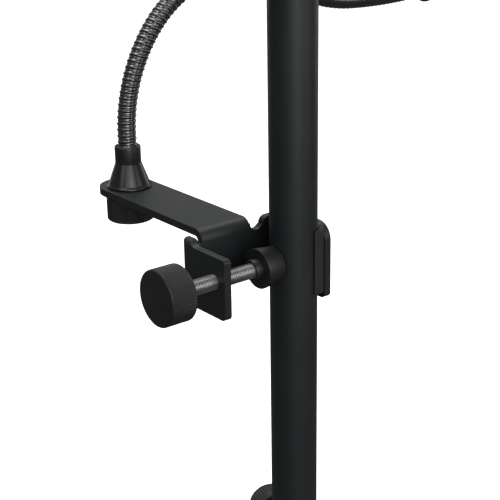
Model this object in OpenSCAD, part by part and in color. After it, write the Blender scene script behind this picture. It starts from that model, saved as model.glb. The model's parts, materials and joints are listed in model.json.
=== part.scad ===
// Free-standing music stand: a folding tripod, a telescoping tube, a tilting desk and a
// clamp-on gooseneck arm. Millimetres, +Z up. The origin is on the tube's axis at floor
// level, and the desk faces -Y.

/* [Main tube] */
// Outside diameter of the main tube
tube_d = 25; // [22:0.5:30]
// Wall of the main tube
tube_wall = 1.2; // [1:0.1:2]
// Height of the main tube's lower end above the floor
tube_foot_z = 45; // [40:1:60]
// Height of the main tube's upper end above the floor
tube_top_z = 600; // [560:5:760]
// Running clearance of everything that slides or turns, on the radius
fit = 0.06; // [0.03:0.01:0.1]

/* [Inner tube] */
// Outside diameter of the inner tube
inner_d = 20; // [16:0.5:20]
// Wall of the inner tube
inner_wall = 1.2; // [1:0.1:2]
// Height of the inner tube's upper end above the floor
inner_top_z = 900; // [820:5:1100]
// Length of the inner tube hidden inside the main tube
inner_overlap = 270; // [120:5:400]

/* [Tripod] */
// Distance of each foot from the tube's axis
leg_spread = 250; // [220:5:330]
// Height of the leg pivots above the floor
hub_z = 240; // [200:5:300]
// Distance of the leg pivots from the tube's axis
hub_pivot_r = 30; // [28:0.5:36]
// Outside diameter of the two collars of the tripod
hub_d = 34; // [32:0.5:40]
// Width of a leg's flat-oval section
leg_w = 16; // [14:0.5:20]
// Depth of a leg's flat-oval section
leg_depth = 11; // [9:0.5:12]
// Wall of a leg
leg_wall = 1.4; // [1:0.1:2]
// Distance along the leg from its pivot to the brace rivet
brace_at = 150; // [120:5:170]
// Height of the brace pivots above the floor
brace_z = 72; // [66:1:90]
// Width of a brace bar
brace_w = 12; // [10:0.5:16]
// Thickness of a brace bar
brace_t = 2; // [1.5:0.1:3]
// Angle between a folded leg and the tube
folded_angle = 3; // [2:0.5:6]
// Diameter of a rubber foot
foot_d = 22; // [20:0.5:28]
// Length of a rubber foot
foot_len = 36; // [28:1:50]

/* [Lock screws] */
// Diameter of a lock screw's shank
stud_d = 6; // [5:0.5:8]
// Diameter of the nylon shoe at a lock screw's end
shoe_d = 8; // [7:0.5:9]
// Thickness of the nylon shoe
shoe_t = 3; // [2:0.5:4]
// Outside diameter of the boss that a lock screw turns in
boss_d = 16; // [14:0.5:18]
// Diameter of a lock knob
knob_d = 24; // [20:0.5:30]
// Thickness of a lock knob
knob_t = 14; // [10:0.5:18]
// Travel of a lock screw when it is undone
lock_travel = 2; // [1:0.25:3]
// Direction in which the tripod's knob stands out
hub_knob_az = 70; // [55:1:75]
// Direction in which the height knob stands out
height_knob_az = 160; // [100:5:200]

/* [Clamp] */
// Height of the clamp screw above the floor
clamp_z = 430; // [400:5:460]
// Thickness of the bracket's sheet
sheet_t = 4; // [3:0.25:5]
// Distance from the tube's axis to the inside of the screw's jaw
jaw_gap = 47.3; // [42:0.1:56]
// Distance that both jaws reach past the tube's axis
jaw_reach = 9; // [6:0.5:14]
// Distance from the tube's axis to the bracket's web
web_gap = 22; // [20:0.5:30]
// Height of the screw's jaw above the screw
jaw_up = 13.2; // [11:0.1:16]
// Depth of the screw's jaw below the screw
jaw_down = 18.9; // [14:0.1:24]
// Depth of the rear jaw below the screw
rear_down = 23.5; // [16:0.5:28]
// Height of the plate's top face above the screw
plate_up = 18.5; // [18:0.1:26]
// Width of the plate
plate_w = 31; // [28:0.5:40]
// Distance of the plate's middle line from the tube's axis
plate_off = 26.4; // [24:0.1:27]
// Distance of the arm's axis from the tube's axis across the plate
arm_off = 26.7; // [24:0.1:28]
// Distance of the arm's axis from the tube's axis along the plate
arm_y = 113; // [90:1:150]
// Distance that the centre of the plate's round end lies beyond the arm's axis
plate_past_arm = 3.4; // [0:0.1:6]
// Outside radius of the bend between plate and web
bend_r = 6; // [5:0.5:9]
// Outside radius of the corners between web and jaws
jaw_bend_r = 1.6; // [1:0.1:4]
// Width of the relief notch between the plate and the screw's jaw
front_notch_w = 2.9; // [2:0.1:4]
// Width of the relief notch between the plate and the rear jaw
rear_notch_w = 8.4; // [6:0.1:9]
// Depth of liner behind the tube
liner_back = 1.3; // [1:0.1:3]

/* [Clamp screw] */
// Diameter of the clamp screw
rod_d = 8; // [6:0.5:10]
// Diameter of the pressure pad
pad_d = 21.2; // [16:0.2:24]
// Diameter of the pressure pad where it meets the tube
pad_end_d = 18.8; // [14:0.2:21]
// Thickness of the pressure pad
pad_t = 11.3; // [9:0.1:12]
// Diameter of the pad's hub, which the screw turns in
pad_hub_d = 11; // [10:0.5:14]
// Length of the pad's hub
pad_hub_len = 4.2; // [2:0.1:5]
// Diameter of the clamp knob
clamp_knob_d = 29; // [22:0.2:36]
// Thickness of the clamp knob
clamp_knob_t = 14.9; // [11:0.1:18]
// Length of screw between the jaw and the knob
rod_out = 19.8; // [10:0.2:30]

/* [Arm] */
// Diameter of the cone's lip
cone_d = 25.6; // [22:0.1:30]
// Height of the cone with its lip
cone_h = 14.5; // [10:0.5:18]
// Diameter of the sleeve over the gooseneck's end
sleeve_d = 14.8; // [13:0.2:16]
// Height of the sleeve above the cone
sleeve_h = 9.4; // [6:0.1:14]
// Diameter of the gooseneck
neck_d = 11; // [9:0.2:12]
// Diameter of the stud under the cone
arm_stud_d = 8; // [6:0.5:8]
// Diameter of the knurled nut under the plate
nut_d = 27; // [20:0.5:30]
// Height of the knurled nut
nut_h = 14; // [8:0.5:18]
// Diameter of the threaded spigot at the gooseneck's end
spigot_d = 15.88; // [9:0.01:16]
// Length of the threaded spigot
spigot_len = 12; // [8:1:16]

/* [Desk] */
// Width of the desk
desk_w = 510; // [400:10:600]
// Height of the desk's panel
desk_h = 340; // [260:10:380]
// Thickness of the desk's sheet
desk_t = 1.5; // [1:0.1:2]
// Depth of the folded rim behind the panel
rim_d = 8; // [5:0.5:12]
// Depth of the ledge
ledge_d = 56; // [40:1:70]
// Height of the ledge's lip
lip_h = 14; // [8:1:20]
// Height of the desk's pivot above the panel's lower edge
pivot_up = 150; // [130:5:170]
// Angle of the desk from upright
desk_tilt = 25; // [15:1:35]

/* [Hidden] */
$fn = 64;

steel_black = [0.11, 0.12, 0.13];
plastic_black = [0.07, 0.07, 0.08];
gloss_black = [0.03, 0.03, 0.035];
rubber_black = [0.05, 0.05, 0.05];
zinc = [0.62, 0.63, 0.62];
nylon = [0.85, 0.84, 0.8];

tube_r = tube_d / 2;
bore_r = tube_r - tube_wall;
inner_r = inner_d / 2;
hub_r = hub_d / 2;
cut = 1;
gap = 0.3;
// How deep a lug or a boss is rooted in the collar that carries it
root = tube_r + 1;
leg_az = [0, 120, 240];

// Tripod: leg and brace angles in the plane of one leg
foot_z = foot_d / 2 - 1;
leg_len = norm([leg_spread - hub_pivot_r, hub_z - foot_z]);
leg_angle = atan2(leg_spread - hub_pivot_r, hub_z - foot_z);
brace_r = hub_r + brace_w / 2 - 1;
rivet_out = hub_pivot_r + brace_at * sin(leg_angle) - brace_r;
rivet_up = hub_z - brace_at * cos(leg_angle) - brace_z;
brace_len = norm([rivet_out, rivet_up]);
brace_angle = atan2(rivet_up, rivet_out);
pin_r = 3;
pin_head = 1.5;
leg_head = 8;
brace_side = leg_w / 2 + gap;
ear_t = 2.5;
ear_r = 9;
brace_hub_h = 26;
hub_low = 14;
hub_high = 34;
knob_up = 18;
leg_end = 4;
end_cap_in = 14;
end_cap_out = 3;

// Lock screws: the shoe's slack, and how far a knob's neck and closed end reach
shoe_slack = 0.4;
knob_neck = 3;
knob_wall = 4;
knob_chamfer = 1.2;

// Lock screws: distances from the axis of the tube that the screw presses on
boss_len = 10;
knob_gap = 5.5;
knob_neck_d = 13;

// Height lock and bush
collar_r = tube_r + 4.5;
collar_h = 30;
collar_rim = 2;
bush_len = 40;
bush_lip = 2;
height_lock_z = tube_top_z - 13;
// The height lock's shoe reaches from the inner tube through the main tube into the collar
shoe_past_tube = 0.5;
height_shoe_t = tube_r - inner_r + shoe_past_tube;
plug_h = 12;

// Clamp, in world coordinates with its screw at clamp_z
jaw_out = jaw_gap + sheet_t;
rear_in = tube_r + liner_back;
rear_out = rear_in + sheet_t;
web_back = web_gap + sheet_t;
plate_lo = -plate_off - plate_w / 2;
plate_hi = -plate_off + plate_w / 2;
ear_up = plate_up - 2.2;
ear_r_top = 3;
ear_from = web_back - 5;
ear_slope_r = 6;
rear_up = plate_up - 1.1;
web_down = 12;
notch_bottom = plate_up - 7;
hump_r = 4;
rear_corner_r = 9;
jaw_low_r = 3;
jaw_top_r = 2;
liner_lip = 0.7;
liner_below = 0.5;
liner_above = 5.9;
liner_half = [[rear_in, jaw_reach - 1], [rear_in - 3, jaw_reach + 1.5],
    [rear_in - 4.5, tube_r + liner_lip], [3.5, tube_r + liner_lip]];
pad_rest = tube_r + 0.2;
rod_in_pad = 5.5;
rod_in_knob = 9;
knob_in = jaw_out + rod_out;
pad_near = pad_rest + pad_t + pad_hub_len;

// Arm
plate_top = clamp_z + plate_up;
plate_low = plate_top - sheet_t;
washer_t = 1.2;
washer_d = 18;
cone_lip = 1.5;
cone_step = 1;
cone_rest = 0.05;
neck_seat = 4;
nut_wall = 1.5;
neck_r = neck_d / 2;
neck_stub = 6.7;
neck_base = plate_top + cone_h + sleeve_h + neck_stub;
ball_gap = 0.35;
neck_arcs = [[91, 39], [73.4, 41], [73.4, 41], [-119, 28], [-400, 9]];
ferrule_d = 19;
ferrule_len = 13;

// Desk
socket_r = inner_r + 4.5;
socket_h = 45;
socket_cap = 4;
swivel_lock_z = inner_top_z - 28;
pivot_out = 22;
pivot_z = inner_top_z - 10;
panel_out = 22;
bolt_r = 4;
lug_w = 12;
tilt_ear_t = 2.5;
tilt_ear_x = lug_w / 2 + gap;
tilt_plate_w = 60;
tilt_plate_h = 70;
tilt_plate_r = 6;
bolt_head = 5;
tilt_neck_d = 18;
rivet_edge = 9;
tilt_knob_d = 30;
tilt_knob_t = 15;
corner_top_r = 30;
corner_low_r = 8;
ledge_w = desk_w - 10;
ledge_flange = 20;
fold_r = 3;
rivet_d = 5;
rivet_head = 1.2;
rivet_back_r = 4;

// A tube standing on z = 0
module pipe(r_out, r_in, h) {
    difference() {
        cylinder(r = r_out, h = h);
        translate([0, 0, -cut]) cylinder(r = r_in, h = h + 2 * cut);
    }
}

// A solid rod along +X from x = a to x = b
module rod_x(r, a, b) {
    translate([a, 0, 0]) rotate([0, 90, 0]) cylinder(r = r, h = b - a);
}

// A solid rod along +Y from y = a to y = b
module rod_y(r, a, b) {
    translate([0, a, 0]) rotate([-90, 0, 0]) cylinder(r = r, h = b - a);
}

// A flat-oval outline, w wide along Y and d deep along X
module oval(w, d) {
    square([d, w - d], center = true);
    for (s = [-1, 1]) translate([0, s * (w - d) / 2]) circle(d = d);
}

// A quarter of a bent sheet, its outer corner towards -X and +Y
module bend_2d(r_out, t) {
    intersection() {
        translate([-r_out, 0]) square(r_out);
        difference() {
            circle(r = r_out);
            circle(r = r_out - t);
        }
    }
}

// A rectangle with its own radius at each pair of corners
module panel_2d(w, h, r_low, r_top) {
    translate([-w / 2 + r_low, 0]) square([w - 2 * r_low, h / 2]);
    translate([-w / 2, r_low]) square([w, h - r_low - r_top]);
    translate([-w / 2 + r_top, h / 2]) square([w - 2 * r_top, h / 2]);
    for (s = [-1, 1]) {
        translate([s * (w / 2 - r_low), r_low]) circle(r = r_low);
        translate([s * (w / 2 - r_top), h - r_top]) circle(r = r_top);
    }
}

// Turns a child drawn with +X outwards to a direction round the tube
module facing(az, z) {
    translate([0, 0, z]) rotate([0, 0, az]) children();
}

// The stepped bore of a lock screw, which presses a shoe t thick on a tube of radius r
module lock_bore(r, reach, t = shoe_t) {
    rod_x(shoe_d / 2 + fit, r - cut, r + t + lock_travel + shoe_slack);
    rod_x(stud_d / 2 + fit, r, reach + cut);
}

module lock_shoe(r, t = shoe_t) {
    color(nylon) rod_x(shoe_d / 2, r + fit, r + fit + t);
}

module lock_stud(r, reach, t = shoe_t) {
    color(zinc) rod_x(stud_d / 2, r + fit + t, reach + knob_gap + knob_t - knob_wall);
}

// A round knob whose near face is at x = near
module round_knob(d, t, neck_across, near, stud_r) {
    edge = knob_chamfer;
    color(plastic_black) difference() {
        translate([near, 0, 0]) rotate([0, 90, 0]) rotate_extrude() polygon([
            [0, -knob_neck], [neck_across / 2, -knob_neck], [neck_across / 2, 0],
            [d / 2 - edge, 0], [d / 2, edge], [d / 2, t - edge], [d / 2 - edge, t], [0, t]]);
        rod_x(stud_r, near - knob_neck - cut, near + t - knob_wall);
    }
}

module lock_knob(reach) {
    round_knob(knob_d, knob_t, knob_neck_d, reach + knob_gap, stud_d / 2);
}

// Main tube and what is fixed to it

module lower_tube() {
    color(steel_black) difference() {
        translate([0, 0, tube_foot_z]) pipe(tube_r, bore_r, tube_top_z - tube_foot_z);
        facing(height_knob_az, height_lock_z) rod_x(shoe_d / 2 + fit, 0, tube_d);
    }
}

module tube_end_cap() {
    color(plastic_black) translate([0, 0, tube_foot_z]) {
        cylinder(r = bore_r, h = end_cap_in);
        translate([0, 0, -end_cap_out]) cylinder(r = tube_r, h = end_cap_out);
    }
}

// One lug of the lower collar, on the side of +X
module brace_lug() {
    translate([0, leg_w / 2, 0]) rotate([90, 0, 0]) linear_extrude(leg_w) {
        translate([root, -brace_w / 2]) square([brace_r - root, brace_w]);
        translate([brace_r, 0]) circle(d = brace_w);
    }
}

module brace_hub() {
    color(plastic_black) difference() {
        union() {
            translate([0, 0, brace_z - brace_hub_h / 2]) cylinder(r = hub_r - 1, h = brace_hub_h);
            for (a = leg_az) facing(a, brace_z) brace_lug();
        }
        translate([0, 0, brace_z - brace_hub_h]) cylinder(r = tube_r, h = 2 * brace_hub_h);
        for (a = leg_az) facing(a, brace_z)
            translate([brace_r, 0, 0]) rod_y(pin_r, -leg_w, leg_w);
    }
}

module brace_pins() {
    half = brace_side + brace_t + gap;
    color(zinc) for (a = leg_az) facing(a, brace_z) translate([brace_r, 0, 0]) {
        rod_y(pin_r, -half, half);
        rod_y(pin_r + 2, half, half + pin_head);
        rod_y(pin_r + 2, -half - pin_head, -half);
    }
}

module height_collar() {
    low = tube_top_z + bush_lip - collar_h;
    reach = collar_r + boss_len;
    color(plastic_black) difference() {
        union() {
            translate([0, 0, low]) cylinder(r = collar_r, h = collar_h + collar_rim);
            facing(height_knob_az, height_lock_z) rod_x(boss_d / 2, root, reach);
        }
        translate([0, 0, low - cut]) cylinder(r = tube_r, h = collar_h + cut);
        translate([0, 0, low]) cylinder(r = inner_r + gap, h = collar_h + collar_rim + cut);
        facing(height_knob_az, height_lock_z) lock_bore(inner_r, reach, height_shoe_t);
    }
}

module height_bush() {
    color(nylon) difference() {
        union() {
            translate([0, 0, tube_top_z - bush_len]) cylinder(r = bore_r, h = bush_len);
            translate([0, 0, tube_top_z]) cylinder(r = tube_r, h = bush_lip);
        }
        translate([0, 0, tube_top_z - bush_len - cut])
            cylinder(r = inner_r + fit, h = bush_len + bush_lip + 2 * cut);
        facing(height_knob_az, height_lock_z) rod_x(shoe_d / 2 + fit, 0, tube_d);
    }
}

// Tripod

// One fork of the sliding collar, on the side of +X
module leg_fork() {
    for (s = [-1, 1]) translate([0, s * (leg_w / 2 + gap + ear_t / 2) + ear_t / 2, 0])
        rotate([90, 0, 0]) linear_extrude(ear_t) {
            translate([root, -ear_r]) square([hub_pivot_r - root, 2 * ear_r]);
            translate([hub_pivot_r, 0]) circle(r = ear_r);
        }
}

module leg_hub() {
    reach = hub_r + boss_len;
    color(plastic_black) difference() {
        union() {
            translate([0, 0, hub_z - hub_low]) cylinder(r = hub_r, h = hub_low + hub_high);
            for (a = leg_az) facing(a, hub_z) leg_fork();
            facing(hub_knob_az, hub_z + knob_up) rod_x(boss_d / 2, root, reach);
        }
        translate([0, 0, hub_z - hub_low - cut])
            cylinder(r = tube_r + fit, h = hub_low + hub_high + 2 * cut);
        for (a = leg_az) facing(a, hub_z)
            translate([hub_pivot_r, 0, 0]) rod_y(pin_r, -2 * leg_w, 2 * leg_w);
        facing(hub_knob_az, hub_z + knob_up) lock_bore(tube_r, reach);
    }
}

module leg_pins() {
    half = leg_w / 2 + gap + ear_t;
    color(zinc) for (a = leg_az) facing(a, hub_z) translate([hub_pivot_r, 0, 0]) {
        rod_y(pin_r, -half, half);
        rod_y(pin_r + 2, half, half + pin_head);
        rod_y(pin_r + 2, -half - pin_head, -half);
    }
}

// Places a child drawn hanging straight down from a leg's pivot
module along_leg(a) {
    facing(a, hub_z) translate([hub_pivot_r, 0, 0]) rotate([0, -leg_angle, 0]) children();
}

module leg(a) {
    color(steel_black) along_leg(a) difference() {
        translate([0, 0, leg_end - leg_len]) linear_extrude(leg_len - leg_end + leg_head) difference() {
            oval(leg_w, leg_depth);
            oval(leg_w - 2 * leg_wall, leg_depth - 2 * leg_wall);
        }
        rod_y(pin_r + fit, -leg_w, leg_w);
    }
}

module foot(a) {
    color(rubber_black) difference() {
        intersection() {
            along_leg(a) translate([0, 0, -leg_len]) {
                sphere(d = foot_d);
                cylinder(d = foot_d, h = foot_len);
            }
            translate([-2 * leg_spread, -2 * leg_spread, 0]) cube(4 * leg_spread);
        }
        along_leg(a) translate([0, 0, leg_end - leg_len]) linear_extrude(foot_len)
            oval(leg_w, leg_depth);
    }
}

// Two bars beside a leg, drawn along +X from the lower pivot
module brace(a) {
    color(steel_black) facing(a, brace_z) translate([brace_r, 0, 0]) rotate([0, -brace_angle, 0])
        for (s = [-1, 1]) translate([0, s * (brace_side + brace_t / 2) + brace_t / 2, 0])
            rotate([90, 0, 0]) linear_extrude(brace_t) difference() {
                union() {
                    translate([0, -brace_w / 2]) square([brace_len, brace_w]);
                    circle(d = brace_w);
                    translate([brace_len, 0]) circle(d = brace_w);
                }
                circle(r = pin_r + fit);
                translate([brace_len, 0]) circle(r = pin_r);
            }
}

// The rivets' ends in the two bars of a brace; their shanks through the leg are left out
module brace_rivets(a) {
    far = brace_side + brace_t;
    color(zinc) facing(a, brace_z) translate([brace_r, 0, 0]) rotate([0, -brace_angle, 0])
        for (turn = [0, 180]) translate([brace_len, 0, 0]) rotate([turn, 0, 0]) {
            rod_y(pin_r, brace_side, far);
            rod_y(pin_r + 2, far, far + pin_head);
        }
}

// Lock screws

module desk_lock() {
    facing(90, swivel_lock_z) children();
}

// Inner tube and the desk's swivelling socket

module inner_tube() {
    low = tube_top_z - inner_overlap;
    color(steel_black) translate([0, 0, low])
        pipe(inner_r, inner_r - inner_wall, inner_top_z - low);
}

module inner_tube_plug() {
    low = tube_top_z - inner_overlap;
    color(plastic_black) {
        translate([0, 0, low - plug_h]) cylinder(r = bore_r - fit, h = plug_h);
        translate([0, 0, low]) cylinder(r = inner_r - inner_wall, h = plug_h);
    }
}

module desk_socket() {
    low = inner_top_z - socket_h;
    color(plastic_black) difference() {
        union() {
            translate([0, 0, low]) cylinder(r = socket_r, h = socket_h + socket_cap);
            translate([0, -pivot_out, pivot_z]) rod_x(ear_r, -lug_w / 2, lug_w / 2);
            translate([-lug_w / 2, -pivot_out, pivot_z - ear_r])
                cube([lug_w, pivot_out - inner_r - 1, 2 * ear_r]);
            desk_lock() rod_x(boss_d / 2, inner_r + 1, socket_r + boss_len);
        }
        translate([0, 0, low - cut]) cylinder(r = inner_r + fit, h = socket_h + cut);
        translate([0, -pivot_out, pivot_z]) rod_x(bolt_r + fit, -lug_w, lug_w);
        desk_lock() lock_bore(inner_r, socket_r + boss_len);
    }
}

// Desk, drawn upright with its pivot at the origin

module at_desk() {
    translate([0, -pivot_out, pivot_z]) rotate([-desk_tilt, 0, 0]) children();
}

module tilt_bracket() {
    color(steel_black) at_desk() difference() {
        union() {
            for (s = [-1, 1]) translate([s * (tilt_ear_x + tilt_ear_t / 2), 0, 0]) {
                rod_x(ear_r, -tilt_ear_t / 2, tilt_ear_t / 2);
                translate([-tilt_ear_t / 2, -panel_out + tilt_ear_t, -ear_r])
                    cube([tilt_ear_t, panel_out - tilt_ear_t, 2 * ear_r]);
            }
            translate([0, -panel_out + tilt_ear_t, -tilt_plate_h / 2]) rotate([90, 0, 0])
                linear_extrude(tilt_ear_t) panel_2d(tilt_plate_w, tilt_plate_h, tilt_plate_r, tilt_plate_r);
        }
        rod_x(bolt_r, -desk_w, desk_w);
        at_rivets(tilt_rivets()) rod_y(rivet_d / 2, -panel_out - cut, -panel_out + 2 * tilt_ear_t);
    }
}

module tilt_bolt() {
    head = tilt_ear_x + tilt_ear_t;
    color(zinc) at_desk() {
        rod_x(bolt_r, -head, head + washer_t + tilt_knob_t - knob_wall + 2);
        rod_x(bolt_r + 3, -head - bolt_head, -head);
    }
}

module tilt_washer() {
    near = tilt_ear_x + tilt_ear_t + fit;
    color(zinc) at_desk() difference() {
        rod_x(bolt_r + 4, near, near + washer_t);
        rod_x(bolt_r + fit, near - cut, near + washer_t + cut);
    }
}

module tilt_knob() {
    near = tilt_ear_x + tilt_ear_t + 2 * fit + washer_t;
    at_desk() round_knob(tilt_knob_d, tilt_knob_t, tilt_neck_d, near + knob_neck, bolt_r + fit);
}

function tilt_rivets() = [for (x = [-1, 1], z = [-1, 1])
    [x * (tilt_plate_w / 2 - rivet_edge), z * (tilt_plate_h / 2 - rivet_edge)]];
function ledge_rivets() = [for (i = [-1.5:1:1.5])
    [i * ledge_w / 4, ledge_flange / 2 + desk_t - pivot_up]];

module at_rivets(places) {
    for (p = places) translate([p[0], 0, p[1]]) children();
}

module desk_panel() {
    color(steel_black) at_desk() difference() {
        translate([0, -panel_out, -pivot_up]) rotate([90, 0, 0]) {
            linear_extrude(desk_t) panel_2d(desk_w, desk_h, corner_low_r, corner_top_r);
            translate([0, 0, -rim_d]) linear_extrude(rim_d + desk_t) difference() {
                panel_2d(desk_w, desk_h, corner_low_r, corner_top_r);
                translate([0, desk_t]) panel_2d(desk_w - 2 * desk_t, desk_h - 2 * desk_t,
                    corner_low_r - desk_t, corner_top_r - desk_t);
            }
        }
        at_rivets(concat(tilt_rivets(), ledge_rivets()))
            rod_y(rivet_d / 2, -panel_out - 2 * desk_t, -panel_out + cut);
    }
}

// The ledge's section, drawn with X forwards and Y up from the panel's front lower edge
module ledge_2d() {
    r = fold_r + desk_t;
    translate([0, r]) square([desk_t, ledge_flange - r]);
    translate([r, r]) rotate([0, 0, 90]) bend_2d(r, desk_t);
    translate([r, 0]) square([ledge_d - 2 * r, desk_t]);
    translate([ledge_d - r, r]) rotate([0, 0, 180]) bend_2d(r, desk_t);
    translate([ledge_d - desk_t, r]) square([desk_t, lip_h - r]);
}

module desk_ledge() {
    color(steel_black) at_desk() difference() {
        translate([-ledge_w / 2, -panel_out - desk_t, -pivot_up])
            rotate([90, 0, -90]) translate([0, 0, -ledge_w]) linear_extrude(ledge_w) ledge_2d();
        at_rivets(ledge_rivets())
            rod_y(rivet_d / 2, -panel_out - 3 * desk_t, -panel_out + cut);
    }
}

module desk_rivets() {
    front = -panel_out - desk_t;
    color(zinc) at_desk() {
        at_rivets(tilt_rivets()) {
            rod_y(rivet_d / 2, front, -panel_out + tilt_ear_t);
            rod_y(rivet_d, front - rivet_head, front);
            rod_y(rivet_back_r, -panel_out + tilt_ear_t, -panel_out + tilt_ear_t + rivet_head);
        }
        at_rivets(ledge_rivets()) {
            rod_y(rivet_d / 2, front - desk_t, -panel_out);
            rod_y(rivet_back_r, front - desk_t - rivet_head, front - desk_t);
            rod_y(rivet_back_r, -panel_out, -panel_out + rivet_head);
        }
    }
}

// Clamp, drawn with its screw's axis through z = 0

// The bracket's section seen from above: two jaws and the web between them
module jaws_2d() {
    difference() {
        union() {
            translate([-jaw_out, -jaw_reach])
                square([jaw_out + rear_out, jaw_reach + web_back - jaw_bend_r]);
            translate([-jaw_out + jaw_bend_r, 0])
                square([jaw_out + rear_out - 2 * jaw_bend_r, web_back]);
            for (x = [-jaw_out + jaw_bend_r, rear_out - jaw_bend_r])
                translate([x, web_back - jaw_bend_r]) circle(r = jaw_bend_r);
        }
        translate([-jaw_gap, -jaw_reach - cut])
            square([jaw_gap + rear_in, jaw_reach + cut + web_gap]);
    }
}

// A jaw's side outline, drawn with X backwards and Y up
module jaw_side(down, up, r_low, r_top) {
    long = jaw_reach + web_back;
    translate([-jaw_reach, -down + r_low]) square([long, down + up - r_low - r_top]);
    translate([-jaw_reach + r_low, -down]) square([long - r_low, 2 * r_low]);
    translate([-jaw_reach + r_top, up - 2 * r_top]) square([long - r_top, 2 * r_top]);
    translate([-jaw_reach + r_low, -down + r_low]) circle(r = r_low);
    translate([-jaw_reach + r_top, up - r_top]) circle(r = r_top);
}

// A slab across x = lo to hi with the outline of its child, drawn in Y and Z
module side_slab(lo, hi) {
    translate([lo, 0, 0]) rotate([90, 0, 90]) linear_extrude(hi - lo) children();
}

module front_jaw() {
    intersection() {
        translate([0, 0, -jaw_down]) linear_extrude(jaw_down + ear_up) jaws_2d();
        side_slab(-jaw_out - cut, -jaw_gap) {
            jaw_side(jaw_down, jaw_up, jaw_low_r, jaw_top_r);
            translate([ear_from, 0]) square([web_back - ear_from, ear_up]);
            difference() {
                translate([ear_from - ear_slope_r, jaw_up - cut])
                    square([ear_slope_r + cut, ear_slope_r]);
                translate([ear_from - ear_slope_r, jaw_up + ear_slope_r]) circle(r = ear_slope_r);
            }
        }
    }
}

module rear_jaw() {
    intersection() {
        translate([0, 0, -rear_down]) linear_extrude(rear_down + rear_up) jaws_2d();
        side_slab(rear_in, rear_out + cut)
            jaw_side(rear_down, rear_up, jaw_low_r, rear_corner_r);
    }
}

// A relief slot with a round bottom, w wide with its middle at x
module notch(x, w) {
    tall = 2 * plate_up;
    translate([x, 0, notch_bottom + w / 2]) {
        rod_y(w / 2, web_gap - cut, web_back + bend_r);
        translate([-w / 2, web_gap - cut, 0]) cube([w, bend_r + sheet_t + cut, tall]);
    }
}

// What rounding takes off a top corner at x, z whose open side is towards side
module corner_off(x, z, r, side) {
    translate([x, web_back + cut, z]) rotate([90, 0, 0]) linear_extrude(2 * sheet_t) difference() {
        translate([side > 0 ? -r : -cut, -r]) square([r + cut, r + cut]);
        translate([-side * r, -r]) circle(r = r);
    }
}

module web() {
    bend_z = plate_up - bend_r;
    translate([-jaw_gap, web_gap, -web_down]) cube([jaw_gap + rear_in, sheet_t, web_down + bend_z]);
    translate([-jaw_gap, web_gap, bend_z]) cube([jaw_gap + plate_lo, sheet_t, ear_up - bend_z]);
    translate([plate_hi, web_gap, bend_z]) cube([rear_in - plate_hi, sheet_t, rear_up - bend_z]);
}

module plate() {
    bend_z = plate_up - bend_r;
    end_y = arm_y + plate_past_arm;
    side_slab(plate_lo, plate_hi) {
        translate([web_gap + bend_r, bend_z]) bend_2d(bend_r, sheet_t);
        translate([web_gap + bend_r, plate_up - sheet_t])
            square([end_y - web_gap - bend_r, sheet_t]);
    }
    translate([-plate_off, end_y, plate_up - sheet_t]) cylinder(r = plate_w / 2, h = sheet_t);
}

module clamp_bracket() {
    color(steel_black) translate([0, 0, clamp_z]) difference() {
        union() {
            front_jaw();
            rear_jaw();
            web();
            plate();
        }
        notch(plate_lo - front_notch_w / 2, front_notch_w);
        notch(plate_hi + rear_notch_w / 2, rear_notch_w);
        corner_off(plate_lo - front_notch_w, ear_up, ear_r_top, 1);
        corner_off(-jaw_out, ear_up, ear_r_top, -1);
        corner_off(plate_hi + rear_notch_w, rear_up, hump_r, -1);
        rod_x(rod_d / 2 + fit, -jaw_out - cut, -jaw_gap + cut);
        translate([-arm_off, arm_y, 0]) cylinder(d = arm_stud_d + 4 * fit, h = 2 * plate_up);
    }
}

module clamp_liner() {
    tip = tube_r + liner_lip;
    up = rear_up - liner_below;
    down = rear_down - liner_above;
    color(rubber_black) translate([0, 0, clamp_z - down]) linear_extrude(up + down) difference() {
        polygon([for (p = liner_half) [p[0], -p[1]], for (i = [len(liner_half) - 1:-1:0]) liner_half[i]]);
        circle(r = tube_r + fit);
    }
}

module pressure_pad() {
    edge = 0.5;
    long = pad_hub_len + pad_t;
    deep = pad_hub_len + rod_in_pad + gap;
    bore = rod_d / 2 + fit;
    color(plastic_black) translate([-pad_near, 0, clamp_z]) rotate([0, 90, 0]) rotate_extrude()
        polygon([
            [bore, 0], [pad_hub_d / 2, 0], [pad_hub_d / 2, pad_hub_len],
            [pad_d / 2 - edge, pad_hub_len], [pad_d / 2, pad_hub_len + edge],
            [pad_end_d / 2, long - edge], [pad_end_d / 2 - edge, long], [0, long],
            [0, deep], [bore, deep]]);
}

module clamp_rod() {
    color(zinc) translate([0, 0, clamp_z])
        rod_x(rod_d / 2, -knob_in - rod_in_knob, -pad_rest - pad_t + rod_in_pad);
}

module clamp_knob() {
    edge = 0.8;
    color(plastic_black) translate([-knob_in, 0, clamp_z]) rotate([0, -90, 0])
        rotate_extrude() polygon([
            [rod_d / 2, 0], [clamp_knob_d / 2 - edge, 0], [clamp_knob_d / 2, edge],
            [clamp_knob_d / 2, clamp_knob_t - edge], [clamp_knob_d / 2 - edge, clamp_knob_t],
            [0, clamp_knob_t], [0, rod_in_knob], [rod_d / 2, rod_in_knob]]);
}

// Arm

module at_arm(z) {
    translate([-arm_off, arm_y, z]) children();
}

module arm_cone() {
    color(gloss_black) at_arm(plate_top + cone_rest) rotate_extrude() polygon([
        [arm_stud_d / 2, 0], [cone_d / 2, 0], [cone_d / 2, cone_lip],
        [cone_d / 2 - cone_step, cone_lip + cone_step / 2],
        [sleeve_d / 2 + cone_step, cone_h - cone_lip], [sleeve_d / 2, cone_h],
        [sleeve_d / 2, cone_h + sleeve_h], [neck_r + fit, cone_h + sleeve_h],
        [neck_r + fit, cone_h - neck_seat], [arm_stud_d / 2, cone_h - neck_seat]]);
}

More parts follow.
